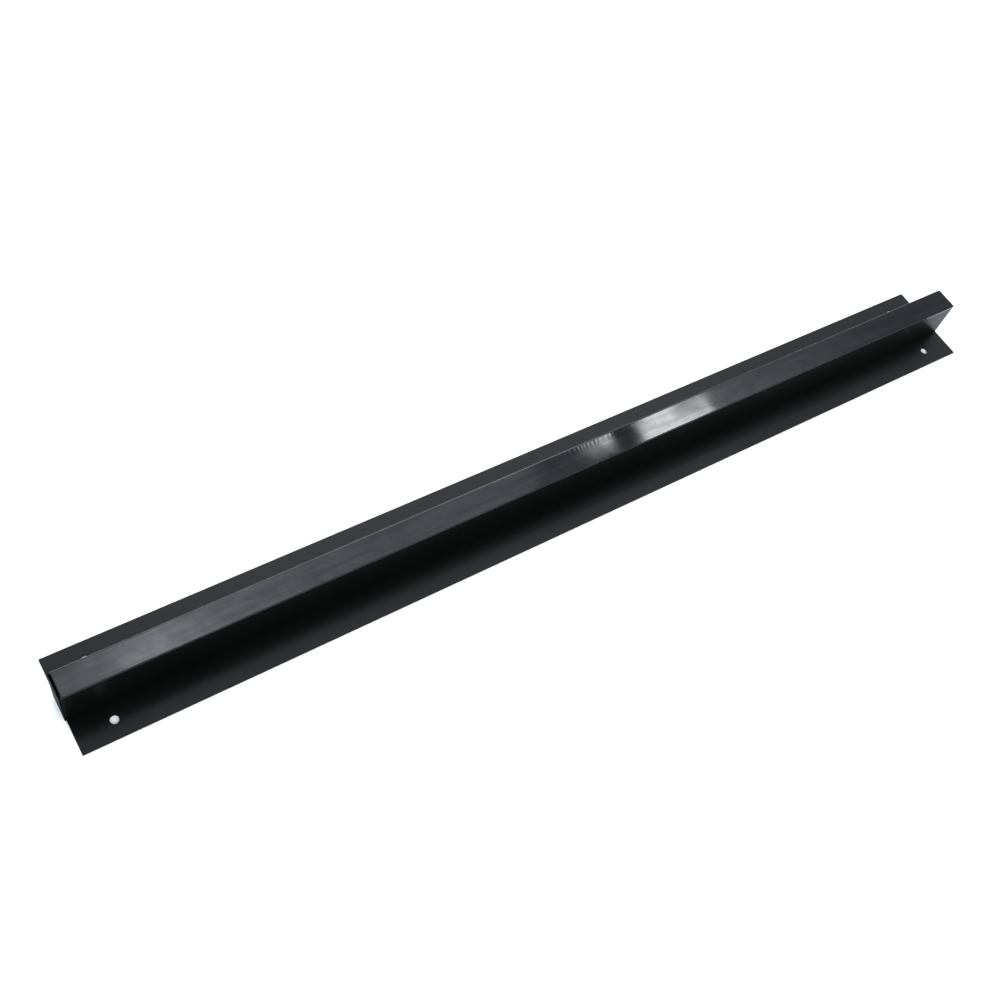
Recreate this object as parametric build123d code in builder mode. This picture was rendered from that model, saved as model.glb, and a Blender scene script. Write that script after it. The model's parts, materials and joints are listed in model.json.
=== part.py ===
from build123d import *
import os

# Kick plate: a long hat-section rail folded from one sheet of steel.
#
# Two flat flanges lie on the surface it is screwed to. Between them the sheet
# rises as two webs and a flat top. A gloss film covers the top and its two
# bends. The hat is closed by a steel plate at each end, tacked on from inside.
#
# Frame: X along the rail, Y across it, Z up. The origin is the middle of the
# four screw holes, on the underside of the flanges. Millimetres throughout.

# Driving dimensions
LENGTH = 914.4            # folded sheet, end to end
WIDTH = 84.1              # across both flanges
HAT_WIDTH = 22.8          # outside the webs
HAT_SHIFT = -0.7          # middle of the hat, a little towards the front
HAT_HEIGHT = 41.0         # underside of the flanges to the steel top
SHEET = 1.2               # gauge of the channel and of both end plates
INNER_BEND = 0.4          # inside radius of every fold
EDGE_ROUND = 0.2          # cut edges softened by the powder coat

# Screw holes
HOLE_DIAMETER = 7.1       # clearance for a 1/4 in screw
HOLE_FROM_END = 30.0
HOLE_FROM_EDGE = 15.1     # in the middle of the front flange

# Ends of the hat
TOP_GAP = 0.8             # slot between the top sheet and the left plate
LEFT_LIFT = 1.2           # foot of the left plate, level with the flanges' top
RIGHT_RECESS = 1.0        # right plate, in from the sheet's end
PLATE_CLEARANCE = 0.1     # right plate to the inside of the hat, all round

# Tack welds that hold the end plates
BEAD_LEG = 2.5            # along the web and along the plate
BEAD_BULGE = 0.3          # crown of the bead over its flat
BEAD_LENGTH = 10.0
BEAD_HEIGHTS = (7.0, 24.0)

# Film on the top
FILM = 0.2
ADHESIVE = 0.1
FILM_SETBACK = 0.3        # right end of the film, in from the sheet's end

# Derived places
OUTER_BEND = INNER_BEND + SHEET
HOLLOW_WIDTH = HAT_WIDTH - 2 * SHEET
HOLLOW_HEIGHT = HAT_HEIGHT - SHEET
HOLE_SPACING_X = LENGTH - 2 * HOLE_FROM_END
HOLE_SPACING_Y = WIDTH - 2 * HOLE_FROM_EDGE
LEFT_END = -LENGTH / 2
RIGHT_END = LENGTH / 2
RIGHT_PLATE_INNER = RIGHT_END - RIGHT_RECESS - SHEET
FILM_LEFT = LEFT_END + TOP_GAP
FILM_LENGTH = RIGHT_END - FILM_SETBACK - FILM_LEFT
STANDING = (Align.CENTER, Align.MIN)

os.makedirs("parts", exist_ok=True)


def save(piece, name):
    """Label a finished piece and write it under its own name."""
    piece.label = name
    export_step(piece, f"parts/{name}.step")


def band_over_top(inner, outer):
    """Face of a band that follows the hat's top and both bends, between two
    distances from the steel."""
    front_y = HAT_SHIFT - HAT_WIDTH / 2 + OUTER_BEND
    back_y = HAT_SHIFT + HAT_WIDTH / 2 - OUTER_BEND
    bend_z = HAT_HEIGHT - OUTER_BEND
    r_in = OUTER_BEND + inner
    r_out = OUTER_BEND + outer
    with BuildLine() as band:
        for radius in (r_in, r_out):
            CenterArc((front_y, bend_z), radius, 180, -90)
            Line((front_y, bend_z + radius), (back_y, bend_z + radius))
            CenterArc((back_y, bend_z), radius, 90, -90)
        for bend_y, side in ((front_y, -1), (back_y, 1)):
            Line((bend_y + side * r_in, bend_z), (bend_y + side * r_out, bend_z))
    make_face(band.edges())


def bead_section(face_x, inward, side):
    """Face of one fillet bead, in the corner of an end plate and a web."""
    web_y = HAT_SHIFT + side * HOLLOW_WIDTH / 2
    on_plate = (face_x, web_y - side * BEAD_LEG)
    on_web = (face_x + inward * BEAD_LEG, web_y)
    crown = (
        face_x + inward * (BEAD_LEG / 2 + BEAD_BULGE),
        web_y - side * (BEAD_LEG / 2 + BEAD_BULGE),
    )
    with BuildLine() as bead:
        Polyline(on_web, (face_x, web_y), on_plate)
        ThreePointArc(on_plate, crown, on_web)
    make_face(bead.edges())


# The folded sheet: both flanges, both webs and the top in one piece
with BuildPart() as hat_channel:
    with BuildSketch(Plane.YZ.offset(LEFT_END)) as section:
        Rectangle(WIDTH, SHEET, align=STANDING)
        with Locations((HAT_SHIFT, 0)):
            Rectangle(HAT_WIDTH, HAT_HEIGHT, align=STANDING)
            Rectangle(HOLLOW_WIDTH, HOLLOW_HEIGHT, align=STANDING, mode=Mode.SUBTRACT)
        rows = section.vertices().group_by(Axis.Y)
        underside, flange_top, hollow_top, steel_top = rows
        outside = steel_top + underside.sort_by(Axis.X)[1:-1]
        inside = hollow_top + flange_top.sort_by(Axis.X)[1:-1]
        fillet(outside, OUTER_BEND)
        fillet(inside, INNER_BEND)
    extrude(amount=LENGTH)

    # every cut edge of the sheet loses its sharpness
    sheet_ends = hat_channel.faces().filter_by(Axis.X)
    flange_tips = hat_channel.faces().filter_by(Axis.Y).group_by(Axis.Y)
    tip_edges = (flange_tips[0] + flange_tips[-1]).edges().filter_by(Axis.X)
    fillet(sheet_ends.edges() + tip_edges, EDGE_ROUND)

    # four screw holes, one near each corner
    with BuildSketch(Plane.XY):
        with GridLocations(HOLE_SPACING_X, HOLE_SPACING_Y, 2, 2):
            Circle(HOLE_DIAMETER / 2)
    extrude(amount=SHEET, mode=Mode.SUBTRACT)
    rims = hat_channel.edges().filter_by(GeomType.CIRCLE).filter_by(
        lambda edge: abs(edge.radius - HOLE_DIAMETER / 2) < EDGE_ROUND / 2
    )
    fillet(rims, EDGE_ROUND)

    # the top stops short of the left plate, bends included
    with BuildSketch(Plane.XY.offset(HAT_HEIGHT - OUTER_BEND)):
        with Locations((LEFT_END, HAT_SHIFT)):
            Rectangle(TOP_GAP, HAT_WIDTH, align=(Align.MIN, Align.CENTER))
    extrude(amount=OUTER_BEND, mode=Mode.SUBTRACT)
save(hat_channel.part, "hat_channel")

# Left plate: the hat's full outline, standing proud of the flanges' ends
with BuildPart() as left_end_plate:
    with BuildSketch(Plane.YZ.offset(LEFT_END - SHEET)) as outline:
        with Locations((HAT_SHIFT, LEFT_LIFT)):
            Rectangle(HAT_WIDTH, HAT_HEIGHT - LEFT_LIFT, align=STANDING)
        fillet(outline.vertices().group_by(Axis.Y)[-1], OUTER_BEND)
    extrude(amount=SHEET)
    fillet(left_end_plate.faces().sort_by(Axis.X)[0].edges(), EDGE_ROUND)
save(left_end_plate.part, "left_end_plate")

# Right plate: let in between the webs and under the top
with BuildPart() as right_end_plate:
    with BuildSketch(Plane.YZ.offset(RIGHT_PLATE_INNER)) as outline:
        with Locations((HAT_SHIFT, 0)):
            Rectangle(
                HOLLOW_WIDTH - 2 * PLATE_CLEARANCE,
                HOLLOW_HEIGHT - PLATE_CLEARANCE,
                align=STANDING,
            )
        fillet(outline.vertices().group_by(Axis.Y)[-1], INNER_BEND)
    extrude(amount=SHEET)
    fillet(right_end_plate.faces().sort_by(Axis.X)[-1].edges(), EDGE_ROUND)
save(right_end_plate.part, "right_end_plate")

# Tack welds: two beads on each web, in the corner behind each plate
for name, face_x, inward in (
    ("left_tack_welds", LEFT_END, 1),
    ("right_tack_welds", RIGHT_PLATE_INNER, -1),
):
    with BuildPart() as tack_welds:
        for height in BEAD_HEIGHTS:
            with BuildSketch(Plane.XY.offset(height)):
                for side in (-1, 1):
                    bead_section(face_x, inward, side)
            extrude(amount=BEAD_LENGTH)
    save(tack_welds.part, name)

# Adhesive: the thin layer that bonds the film to the steel
with BuildPart() as film_adhesive:
    with BuildSketch(Plane.YZ.offset(FILM_LEFT)):
        band_over_top(0, ADHESIVE)
    extrude(amount=FILM_LENGTH)
save(film_adhesive.part, "film_adhesive")

# Gloss film: covers the top and wraps down both bends
with BuildPart() as gloss_film:
    with BuildSketch(Plane.YZ.offset(FILM_LEFT)):
        band_over_top(ADHESIVE, ADHESIVE + FILM)
    extrude(amount=FILM_LENGTH)
save(gloss_film.part, "gloss_film")
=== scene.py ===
import bisect
import bpy
import bmesh
import json
import math
import random
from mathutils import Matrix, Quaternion, Vector

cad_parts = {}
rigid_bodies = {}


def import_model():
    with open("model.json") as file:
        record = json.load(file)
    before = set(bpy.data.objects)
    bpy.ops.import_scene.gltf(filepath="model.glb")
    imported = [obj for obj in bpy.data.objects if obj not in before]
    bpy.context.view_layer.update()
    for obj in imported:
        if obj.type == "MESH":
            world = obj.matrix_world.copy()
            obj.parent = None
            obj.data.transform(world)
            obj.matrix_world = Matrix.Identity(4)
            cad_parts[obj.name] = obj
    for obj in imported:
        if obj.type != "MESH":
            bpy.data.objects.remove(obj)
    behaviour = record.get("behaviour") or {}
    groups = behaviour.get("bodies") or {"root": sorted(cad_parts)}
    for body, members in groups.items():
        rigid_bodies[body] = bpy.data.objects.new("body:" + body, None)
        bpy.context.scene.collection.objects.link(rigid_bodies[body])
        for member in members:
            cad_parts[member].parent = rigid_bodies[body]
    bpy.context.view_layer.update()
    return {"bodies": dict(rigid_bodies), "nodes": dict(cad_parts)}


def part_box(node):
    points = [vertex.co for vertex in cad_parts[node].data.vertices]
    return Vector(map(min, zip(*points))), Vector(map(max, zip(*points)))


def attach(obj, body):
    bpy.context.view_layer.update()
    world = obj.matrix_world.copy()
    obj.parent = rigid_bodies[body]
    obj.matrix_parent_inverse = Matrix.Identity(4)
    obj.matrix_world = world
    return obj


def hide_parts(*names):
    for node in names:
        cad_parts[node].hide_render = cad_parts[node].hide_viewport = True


# Looks of a black steel kick plate with a gloss film along its raised top.
# Metres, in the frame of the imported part: X along the rail, Y across, Z up.

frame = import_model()

MM = 0.001
ROOT = "root" if "root" in frame["bodies"] else next(iter(frame["bodies"]))

# Camera: stands near the left end and looks down along the rail
CAMERA_AT = Vector((-0.5008, -0.3798, 0.8861))
CAMERA_LOOKS_AT = Vector((-0.0657, 0.0108, 0.0))
CAMERA_ROLL = math.radians(19.27)
CAMERA_LENS = 44.17
SENSOR_WIDTH = 36.0


# ---------------------------------------------------------------- node trees
def add(tree, kind, links=None, **settings):
    """Add a shader node, set its properties, then fill or connect its inputs."""
    made = tree.nodes.new(kind)
    for key, value in settings.items():
        setattr(made, key, value)
    for key, value in (links or {}).items():
        if isinstance(value, bpy.types.NodeSocket):
            tree.links.new(value, made.inputs[key])
        else:
            made.inputs[key].default_value = value
    return made


def combine(tree, operation, *values, clamp=False):
    """Result of a math node on numbers or sockets."""
    made = add(tree, "ShaderNodeMath", dict(enumerate(values)), operation=operation)
    made.use_clamp = clamp
    return made.outputs[0]


def remap(tree, value, low, high, to_low, to_high):
    """Value taken from one range to another, held inside it."""
    made = add(
        tree,
        "ShaderNodeMapRange",
        {"Value": value, "From Min": low, "From Max": high, "To Min": to_low, "To Max": to_high},
    )
    return made.outputs["Result"]


def noise(tree, where, size, detail=2.0, roughness=0.5):
    """Noise whose features are about size metres across."""
    made = add(
        tree,
        "ShaderNodeTexNoise",
        {"Vector": where, "Scale": 1.0 / size, "Detail": detail, "Roughness": roughness},
    )
    return made.outputs["Fac"]


def stretched(tree, where, squeeze, turn=0.0):
    """Coordinates that draw a pattern out along X, turned a little about Z."""
    made = add(
        tree,
        "ShaderNodeMapping",
        {"Vector": where, "Rotation": (0.0, 0.0, turn), "Scale": (squeeze, 1.0, 1.0)},
    )
    return made.outputs[0]


def mix_colour(tree, factor, first, second):
    """Colour between two, given as RGB."""
    made = add(tree, "ShaderNodeMix", {"Factor": factor}, data_type="RGBA")
    made.inputs["A"].default_value = (*first, 1.0)
    made.inputs["B"].default_value = (*second, 1.0)
    return made.outputs["Result"]


def start_material(name):
    """New material, its tree, its Principled shader and object coordinates."""
    material = bpy.data.materials.new(name)
    material.use_nodes = True
    tree = material.node_tree
    shader = tree.nodes["Principled BSDF"]
    where = add(tree, "ShaderNodeTexCoord").outputs["Object"]
    return material, tree, shader, where


def feed(tree, shader, **sockets):
    """Connect sockets to the shader's inputs, underscores standing for spaces."""
    for name, socket in sockets.items():
        tree.links.new(socket, shader.inputs[name.replace("_", " ")])


# ----------------------------------------------------------------- materials
# each look drifts between a darker and a lighter colour
COAT_DARK, COAT_LIGHT = (0.0004, 0.0007, 0.0005), (0.0014, 0.0019, 0.0016)
FILM_DARK, FILM_LIGHT = (0.0042, 0.0050, 0.0088), (0.0095, 0.0108, 0.0155)
ADHESIVE_DARK, ADHESIVE_LIGHT = (0.03, 0.03, 0.032), (0.06, 0.06, 0.062)
FLOOR_DARK, FLOOR_LIGHT = (0.86, 0.86, 0.86), (0.88, 0.88, 0.88)
COATING_IOR = 1.5
FINE_GRAIN, COARSE_GRAIN = 0.018 * MM, 0.03 * MM        # height of the coat's grain
# the values that noise mostly stays between, wider and narrower
WIDE, NARROW, NARROWEST = (0.3, 0.7), (0.35, 0.65), (0.40, 0.60)


def powder_coat(name, grain_height=FINE_GRAIN, sheen=0.5, matt=0.0):
    """Satin black powder coat: fine grain over orange peel, faint smudges.

    matt is added to the roughness, and sheen is the strength of the reflection.
    """
    material, tree, shader, where = start_material(name)
    grain = noise(tree, where, 0.5 * MM, 2.0, 0.55)
    peel = noise(tree, where, 2.4 * MM, 1.0)
    smudge = noise(tree, where, 70 * MM, 4.0, 0.55)
    height = combine(tree, "ADD", grain, combine(tree, "MULTIPLY", peel, 1.2))
    bump = add(
        tree,
        "ShaderNodeBump",
        {"Height": height, "Distance": grain_height, "Strength": 1.0},
    )
    rough = combine(
        tree,
        "ADD",
        remap(tree, smudge, *WIDE, 0.33 + matt, 0.37 + matt),
        remap(tree, grain, *WIDE, -0.015, 0.015),
    )
    tone = combine(
        tree,
        "ADD",
        combine(tree, "MULTIPLY", grain, 0.5),
        combine(tree, "MULTIPLY", smudge, 0.5),
    )
    colour = mix_colour(tree, remap(tree, tone, *NARROW, 0.0, 1.0), COAT_DARK, COAT_LIGHT)
    feed(tree, shader, Base_Color=colour, Roughness=rough, Normal=bump.outputs["Normal"])
    shader.inputs["IOR"].default_value = COATING_IOR
    shader.inputs["Specular IOR Level"].default_value = sheen
    return material


def gloss_film(name):
    """Gloss blue-black film: faint draw lines along its length and wiped, smeary patches."""
    material, tree, shader, where = start_material(name)
    along = stretched(tree, where, 0.02)
    lines = noise(tree, along, 0.9 * MM, 3.0, 0.65)
    haze = noise(tree, where, 35 * MM, 3.0)
    bump = add(
        tree,
        "ShaderNodeBump",
        {"Height": lines, "Distance": 0.006 * MM, "Strength": 1.0},
    )
    rough = combine(
        tree,
        "ADD",
        remap(tree, haze, *NARROW, 0.045, 0.062),
        remap(tree, lines, *WIDE, -0.01, 0.015),
    )
    tone = combine(
        tree,
        "ADD",
        combine(tree, "MULTIPLY", haze, 0.4),
        combine(tree, "MULTIPLY", lines, 0.6),
    )
    colour = mix_colour(tree, remap(tree, tone, *NARROW, 0.0, 1.0), FILM_DARK, FILM_LIGHT)
    wiped = stretched(tree, where, 0.09, turn=0.10)
    streaks = noise(tree, wiped, 5.0 * MM, 3.0, 0.55)
    blotches = noise(tree, where, 13 * MM, 3.0, 0.6)
    smears = combine(
        tree,
        "ADD",
        combine(tree, "MULTIPLY", streaks, 0.65),
        combine(tree, "MULTIPLY", blotches, 0.35),
    )
    sheen = remap(tree, smears, *NARROWEST, 0.44, 0.56)
    feed(
        tree,
        shader,
        Base_Color=colour,
        Roughness=rough,
        Normal=bump.outputs["Normal"],
        Specular_IOR_Level=sheen,
    )
    shader.inputs["IOR"].default_value = COATING_IOR
    return material


def dull_adhesive(name):
    """Grey rubbery adhesive, seen only at the film's cut ends."""
    material, tree, shader, where = start_material(name)
    speckle = noise(tree, where, 0.3 * MM, 3.0)
    bump = add(tree, "ShaderNodeBump", {"Height": speckle, "Distance": 0.02 * MM})
    colour = mix_colour(tree, speckle, ADHESIVE_DARK, ADHESIVE_LIGHT)
    rough = remap(tree, speckle, *WIDE, 0.55, 0.75)
    feed(tree, shader, Base_Color=colour, Roughness=rough, Normal=bump.outputs["Normal"])
    return material


def white_floor(name):
    """Clean white table top with a faint mottle."""
    material, tree, shader, where = start_material(name)
    mottle = noise(tree, where, 0.4, 3.0)
    colour = mix_colour(tree, mottle, FLOOR_DARK, FLOOR_LIGHT)
    feed(tree, shader, Base_Color=colour)
    shader.inputs["Roughness"].default_value = 0.8
    shader.inputs["IOR"].default_value = 1.3
    return material


# -------------------------------------------------------------------- meshes
def piece_from(name, verts, faces, material, smooth=True):
    """Mesh object from points and faces, normals outward."""
    mesh = bpy.data.meshes.new(name)
    shape = bmesh.new()
    points = [shape.verts.new(v) for v in verts]
    for face in faces:
        shape.faces.new([points[i] for i in face])
    bmesh.ops.recalc_face_normals(shape, faces=shape.faces)
    for face in shape.faces:
        face.smooth = smooth
    shape.to_mesh(mesh)
    shape.free()
    made = bpy.data.objects.new(name, mesh)
    bpy.context.scene.collection.objects.link(made)
    mesh.materials.append(material)
    return made


# ---------------------------------------------------------------- gloss film
FILM_STEP = 0.85 * MM           # mesh spacing along the rail
BEND_STEPS = 8                  # spacings round each bend, and across the flat
FLAT_STEPS = 26
BACK_BEND, FRONT_BEND = 1.7 * MM, 0.9 * MM      # the film pulls tighter over the front
# slow waves left along the film: (length, height, how far they lean across)
WAVES = ((61 * MM, 0.010 * MM, 0.3), (37 * MM, 0.005 * MM, -0.4), (19 * MM, 0.002 * MM, 0.5))
WAVE_SEED, PUCKER_SEED = 7, 11
PUCKER_PERIOD = (2.6 * MM, 5.6 * MM)            # shortest and longest
PUCKER_STRENGTH = (0.35, 1.0)                   # weakest and strongest
PUCKER_OVERRUN = 20 * MM        # puckers are laid out this far past the film's ends
PUCKER_LEAN = 0.32              # puckers run back to front at a slant
PUCKER_HEIGHT = 0.030 * MM
BACK_REACH, FRONT_REACH = 4.2 * MM, 1.6 * MM    # how far puckers run in from each bend
# where the film is puckered: (middle along the rail, spread, strength at back, strength at front)
PUCKER_PATCHES = (
    (4 * MM, 26 * MM, 1.0, 0.7),
    (24 * MM, 11 * MM, 0.5, 0.6),
    (-386 * MM, 26 * MM, 0.45, 0.0),
    (-115 * MM, 9 * MM, 0.0, 0.6),
    (120 * MM, 260 * MM, 0.05, 0.05),
)


def film_section():
    """Outer line of the film from back to front, and where its flat starts and ends.

    Each point is (y, z, normal y, normal z, distance from the middle along the line).
    """
    low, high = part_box("gloss_film")
    middle, half = (low.y + high.y) / 2, (high.y - low.y) / 2
    quarter = math.radians(90)
    bends = []
    for side, radius in ((1, BACK_BEND), (-1, FRONT_BEND)):
        bend_y, bend_z = half - radius, high.z - radius
        to_foot = bend_y + radius * quarter + bend_z - low.z
        bend = [(middle + side * half, low.z, side, 0.0, side * to_foot)]
        for i in range(BEND_STEPS + 1):
            a = quarter * (1 - i / BEND_STEPS)
            ny, nz = side * math.sin(a), math.cos(a)
            y = middle + side * bend_y + radius * ny
            bend.append((y, bend_z + radius * nz, ny, nz, side * (bend_y + radius * a)))
        bends.append(bend)
    back, front = bends
    edge_back, edge_front = back[-1][4], front[-1][4]
    flat = []
    for i in range(1, FLAT_STEPS):
        # closer together towards the bends, so the flat stays flat right up to them
        t = 0.5 - 0.5 * math.cos(math.pi * i / FLAT_STEPS)
        s = edge_back + (edge_front - edge_back) * t
        flat.append((middle + s, high.z, 0.0, 1.0, s))
    return back + flat + front[::-1], edge_back, -edge_front


def uneven_marks(length):
    """Unevenly spaced marks along a length, each with the strength of its pucker."""
    rng = random.Random(PUCKER_SEED)
    marks = [-PUCKER_OVERRUN]
    while marks[-1] < length + PUCKER_OVERRUN:
        marks.append(marks[-1] + rng.uniform(*PUCKER_PERIOD))
    return marks, [rng.uniform(*PUCKER_STRENGTH) for _ in marks]


def pucker_at(marks, strengths, x):
    """Depth of the pucker at x, from 0 to 1."""
    i = bisect.bisect_right(marks, x) - 1
    t = (x - marks[i]) / (marks[i + 1] - marks[i])
    return strengths[i] * 0.5 * (1 - math.cos(2 * math.pi * t))


def gauss(value, middle, spread):
    """Bell curve of a number, 1 at its middle."""
    return math.exp(-(((value - middle) / spread) ** 2))


def film_sink(x, y, s, edge_back, edge_front, start, waves, puckers):
    """How far the film lies in from its fullest shape at a point, in metres."""
    sink = 0.0
    for length, height, lean, phase in waves:
        sink += height * (1 - math.cos(2 * math.pi * (x + lean * y) / length + phase))
    depth = pucker_at(*puckers, x - start + PUCKER_LEAN * (edge_back - s))
    back = math.exp(-((max(0.0, edge_back - s) / BACK_REACH) ** 2))
    front = math.exp(-((max(0.0, edge_front + s) / FRONT_REACH) ** 2))
    for middle, spread, at_back, at_front in PUCKER_PATCHES:
        share = at_back * back + at_front * front
        sink += PUCKER_HEIGHT * depth * gauss(x, middle, spread) * share
    return sink


def make_film(material):
    """The film as laid by hand: slow waves along the top, puckers over both bends."""
    low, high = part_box("gloss_film")
    thickness = high.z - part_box("film_adhesive")[1].z
    section, edge_back, edge_front = film_section()
    count = max(2, round((high.x - low.x) / FILM_STEP))
    rng = random.Random(WAVE_SEED)
    waves = [(*wave, rng.uniform(0, 2 * math.pi)) for wave in WAVES]
    puckers = uneven_marks(high.x - low.x)
    verts, faces = [], []
    for i in range(count + 1):
        x = low.x + (high.x - low.x) * i / count
        for y, z, ny, nz, s in section:
            sink = film_sink(x, y, s, edge_back, edge_front, low.x, waves, puckers)
            verts.append((x, y - ny * sink, z - nz * sink))
    outer = len(section)
    inner_points = [(y - ny * thickness, z - nz * thickness) for y, z, ny, nz, s in section]
    base = len(verts)
    for i in range(count + 1):
        x = low.x + (high.x - low.x) * i / count
        verts += [(x, y, z) for y, z in inner_points]
    # outside, inside, then the edges along the webs and at both ends
    for i in range(count):
        for j in range(outer - 1):
            a = i * outer + j
            faces.append((a, a + 1, a + 1 + outer, a + outer))
            b = base + a
            faces.append((b, b + outer, b + 1 + outer, b + 1))
        for j in (0, outer - 1):
            a = i * outer + j
            faces.append((a, a + outer, base + a + outer, base + a))
    for i in (0, count):
        for j in range(outer - 1):
            a = i * outer + j
            faces.append((a, a + 1, base + a + 1, base + a))
    film = piece_from("film_top", verts, faces, material)
    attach(film, ROOT)
    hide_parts("gloss_film")
    return film


# -------------------------------------------------------------------- stage
FLOOR_REACH = 8.0
FLOOR_DROP = 0.02 * MM          # keeps the floor's surface clear of the flanges
CEILING = 1.5                   # height of both softboxes
WINDOW_AT, WINDOW_SIZE, WINDOW_RADIANCE = (1.133, 0.658), (0.234, 0.11), 14.0
SIDE_WINDOW_AT, SIDE_WINDOW_SIZE, SIDE_WINDOW_RADIANCE = (0.910, 0.664), (0.108, 0.10), 16.0
ROOM_COLOUR = (0.965, 1.0, 1.045, 1.0)
LOWEST_RISE = 0.05              # directions flatter than this count as this steep
# rows of the ceiling that the film and the front flange reflect into the camera
FILM_ROW, FLANGE_ROW = 0.45, 0.12


def make_floor():
    """Plain white floor, just under the flanges."""
    corners = ((-1, -1), (1, -1), (1, 1), (-1, 1))
    verts = [(FLOOR_REACH * x, FLOOR_REACH * y, -FLOOR_DROP) for x, y in corners]
    floor = piece_from("floor", verts, [(0, 1, 2, 3)], white_floor("white_table"), smooth=False)


def softbox(name, at, size, radiance):
    """Rectangular light at the ceiling, facing down, whose face has the given radiance."""
    data = bpy.data.lights.new(name, "AREA")
    data.shape = "RECTANGLE"
    data.size, data.size_y = size
    data.energy = radiance * math.pi * data.size * data.size_y
    lamp = bpy.data.objects.new(name, data)
    bpy.context.scene.collection.objects.link(lamp)
    lamp.location = (*at, CEILING)
    lamp.rotation_mode = "QUATERNION"
    lamp.rotation_quaternion = Vector((0.0, 0.0, -1.0)).to_track_quat("-Z", "Y")
    lamp.visible_camera = False
    return lamp


def smooth_step(tree, value, low, high):
    """0 below low, 1 above high, eased between."""
    made = add(
        tree,
        "ShaderNodeMapRange",
        {"Value": value, "From Min": low, "From Max": high},
        interpolation_type="SMOOTHSTEP",
    )
    return made.outputs["Result"]


def bell(tree, value, middle, spread):
    """Bell curve of a socket, 1 at its middle."""
    offset = combine(tree, "DIVIDE", combine(tree, "SUBTRACT", value, middle), spread)
    squared = combine(tree, "MULTIPLY", offset, offset)
    return combine(tree, "EXPONENT", combine(tree, "MULTIPLY", squared, -1.0))


def total_of(tree, *parts):
    """Sum of numbers and sockets."""
    total = parts[0]
    for part in parts[1:]:
        total = combine(tree, "ADD", total, part)
    return total


def times(tree, *parts):
    """Product of numbers and sockets."""
    product = parts[0]
    for part in parts[1:]:
        product = combine(tree, "MULTIPLY", product, part)
    return product


def rest_of(tree, part):
    """What is left of 1."""
    return combine(tree, "SUBTRACT", 1.0, part)


def ceiling_light(tree, u, v):
    """Radiance of the ceiling, u along the rail and v towards the back."""
    near_end = smooth_step(tree, u, 0.35, 0.02)
    far_half = times(tree, smooth_step(tree, u, 0.610, 0.635), smooth_step(tree, u, 1.27, 0.93))
    short_of_windows = times(tree, smooth_step(tree, u, 0.548, 0.522), rest_of(tree, near_end))
    near_glow = total_of(
        tree,
        times(tree, 2.55, near_end),
        times(tree, 2.0, bell(tree, u, 0.165, 0.12)),
        times(tree, 2.5, bell(tree, u, 0.132, 0.036)),
    )
    far_glow = total_of(
        tree,
        times(tree, 0.75, bell(tree, u, 0.785, 0.04)),
        times(tree, 1.5, smooth_step(tree, u, 0.70, 0.76), smooth_step(tree, u, 1.10, 0.84)),
    )
    # an even light, dimmer at the near end and past the windows
    even = total_of(tree, 1.55, times(tree, -1.15, near_end), times(tree, -0.75, far_half))
    # glows that mostly the film shows
    on_film = total_of(
        tree,
        times(tree, 1.4, short_of_windows, bell(tree, v, FILM_ROW, 0.30)),
        times(tree, near_glow, bell(tree, v, FILM_ROW, 0.09)),
        times(tree, far_glow, bell(tree, v, FILM_ROW, 0.20)),
    )
    # lights for the back flange and for the front one
    on_flanges = total_of(
        tree,
        times(tree, 3.4, bell(tree, u, 0.55, 0.36), smooth_step(tree, v, 0.52, 0.80)),
        times(tree, 2.2, bell(tree, u, 0.68, 0.42), bell(tree, v, FLANGE_ROW, 0.20)),
    )
    return total_of(tree, even, on_film, on_flanges)


def wall_light(tree, x, y, z):
    """Radiance of the walls in a direction: even, and brighter in front and behind."""
    forward = combine(tree, "MULTIPLY", y, -1.0)
    eye_level = times(tree, smooth_step(tree, z, -0.05, 0.08), smooth_step(tree, z, 0.86, 0.62))
    front = times(tree, 2.2, eye_level, smooth_step(tree, forward, 0.30, 0.70))
    back = times(tree, 0.8, smooth_step(tree, forward, -0.4, -0.8))
    back_left = times(
        tree,
        3.0,
        smooth_step(tree, forward, -0.3, -0.6),
        smooth_step(tree, x, 0.50, 0.46),
        smooth_step(tree, z, 0.0, 0.10),
    )
    return total_of(tree, 0.9, front, back, back_left)


def make_world():
    """Soft room light. u and v are where a direction meets a ceiling one unit up."""
    world = bpy.data.worlds.new("studio")
    bpy.context.scene.world = world
    world.use_nodes = True
    tree = world.node_tree
    direction = add(tree, "ShaderNodeTexCoord").outputs["Generated"]
    x, y, z = add(tree, "ShaderNodeSeparateXYZ", {"Vector": direction}).outputs
    rise = combine(tree, "MAXIMUM", z, LOWEST_RISE)
    u = combine(tree, "DIVIDE", x, rise)
    v = combine(tree, "DIVIDE", y, rise)
    overhead = times(tree, smooth_step(tree, v, -0.05, 0.38), smooth_step(tree, v, 1.6, 0.8))
    radiance = total_of(
        tree,
        times(tree, overhead, ceiling_light(tree, u, v)),
        times(tree, rest_of(tree, overhead), wall_light(tree, x, y, z)),
    )
    background = tree.nodes["Background"]
    tree.links.new(radiance, background.inputs["Strength"])
    background.inputs["Color"].default_value = ROOM_COLOUR


def pattern_light(lamp, pattern):
    """Vary a softbox over its face: pattern takes the tree and world x and y."""
    lamp.data.use_nodes = True
    tree = lamp.data.node_tree
    place = add(tree, "ShaderNodeNewGeometry").outputs["Position"]
    split = add(tree, "ShaderNodeSeparateXYZ", {"Vector": place}).outputs
    strength = pattern(tree, split["X"], split["Y"])
    tree.links.new(strength, tree.nodes["Emission"].inputs["Strength"])


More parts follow.
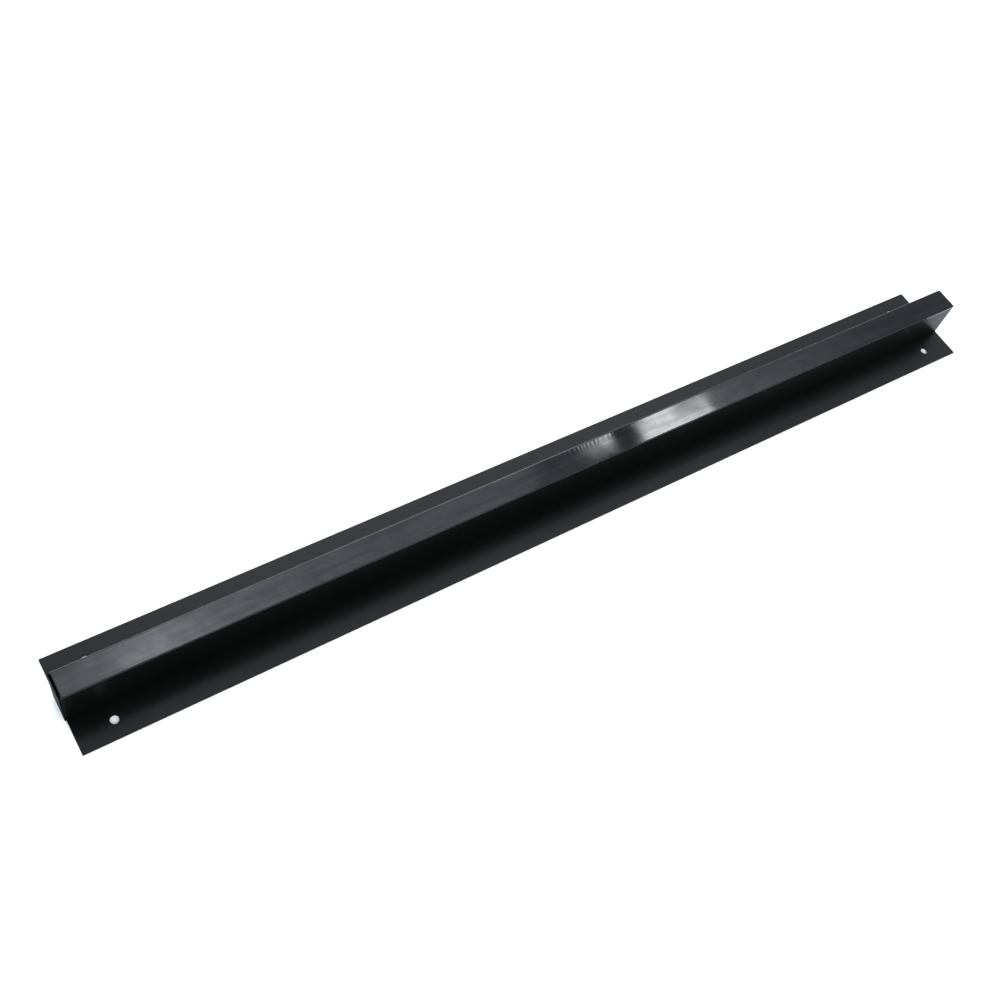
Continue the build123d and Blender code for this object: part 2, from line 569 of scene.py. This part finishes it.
def window_pattern(tree, x, y):
    """Bright at its near end, dimmer beyond, with a bright far rim."""
    slant = times(tree, combine(tree, "SUBTRACT", y, 0.656), 0.27)
    lean = combine(tree, "SUBTRACT", x, slant)
    near = smooth_step(tree, lean, 1.026, 1.062)
    beyond = times(tree, smooth_step(tree, lean, 1.125, 1.185), smooth_step(tree, y, 0.627, 0.673))
    rim = smooth_step(tree, x, 1.220, 1.240)
    dim = times(tree, beyond, rest_of(tree, times(tree, rim, 0.8)), 0.50)
    fall = times(tree, smooth_step(tree, x, 1.145, 1.225), 0.22)
    return times(tree, near, combine(tree, "SUBTRACT", rest_of(tree, dim), fall))


def side_window_pattern(tree, x, y):
    """Brightens towards its far edge and towards the back."""
    ramp = smooth_step(tree, x, 0.862, 0.975)
    back = total_of(tree, 0.22, times(tree, 0.78, smooth_step(tree, y, 0.628, 0.672)))
    return times(tree, ramp, back)


def make_lights():
    """Soft room light, and two small windows that only the gloss film shows clearly."""
    make_world()
    window = softbox("window", WINDOW_AT, WINDOW_SIZE, WINDOW_RADIANCE)
    pattern_light(window, window_pattern)
    side = softbox("side_window", SIDE_WINDOW_AT, SIDE_WINDOW_SIZE, SIDE_WINDOW_RADIANCE)
    pattern_light(side, side_window_pattern)


def make_camera():
    """Camera at the near end, aimed and rolled."""
    data = bpy.data.cameras.new("camera")
    data.sensor_width = SENSOR_WIDTH
    data.lens = CAMERA_LENS
    data.clip_start = 0.01
    data.clip_end = 50.0
    camera = bpy.data.objects.new("camera", data)
    bpy.context.scene.collection.objects.link(camera)
    camera.location = CAMERA_AT
    camera.rotation_mode = "QUATERNION"
    aim = (CAMERA_LOOKS_AT - CAMERA_AT).to_track_quat("-Z", "Y")
    camera.rotation_quaternion = aim @ Quaternion((0, 0, 1), CAMERA_ROLL)
    bpy.context.scene.camera = camera


# --------------------------------------------------------------------- build
coat = powder_coat("satin_powder_coat")
# painted shade: the left end plate gets a copy of the satin coat with its reflection cut far down
# and made rougher, so its end face stays dark instead of reflecting the lit floor; the right plate
# keeps the same coat at full reflection
plate_coat = powder_coat("dimmed_shaded_end_plate_coat", COARSE_GRAIN, sheen=0.08, matt=0.12)
weld_coat = powder_coat("coated_weld", COARSE_GRAIN)
film_look = gloss_film("gloss_film_look")
adhesive_look = dull_adhesive("adhesive_look")
LOOKS = {
    "hat_channel": coat,
    "left_end_plate": plate_coat,
    "right_end_plate": coat,
    "left_tack_welds": weld_coat,
    "right_tack_welds": weld_coat,
    "film_adhesive": adhesive_look,
}
for node_name, look in LOOKS.items():
    mesh = frame["nodes"][node_name].data
    mesh.materials.clear()
    mesh.materials.append(look)

make_film(film_look)
make_floor()
make_lights()
make_camera()
bpy.context.scene.view_settings.view_transform = "Standard"
bpy.context.scene.view_settings.gamma = 0.7
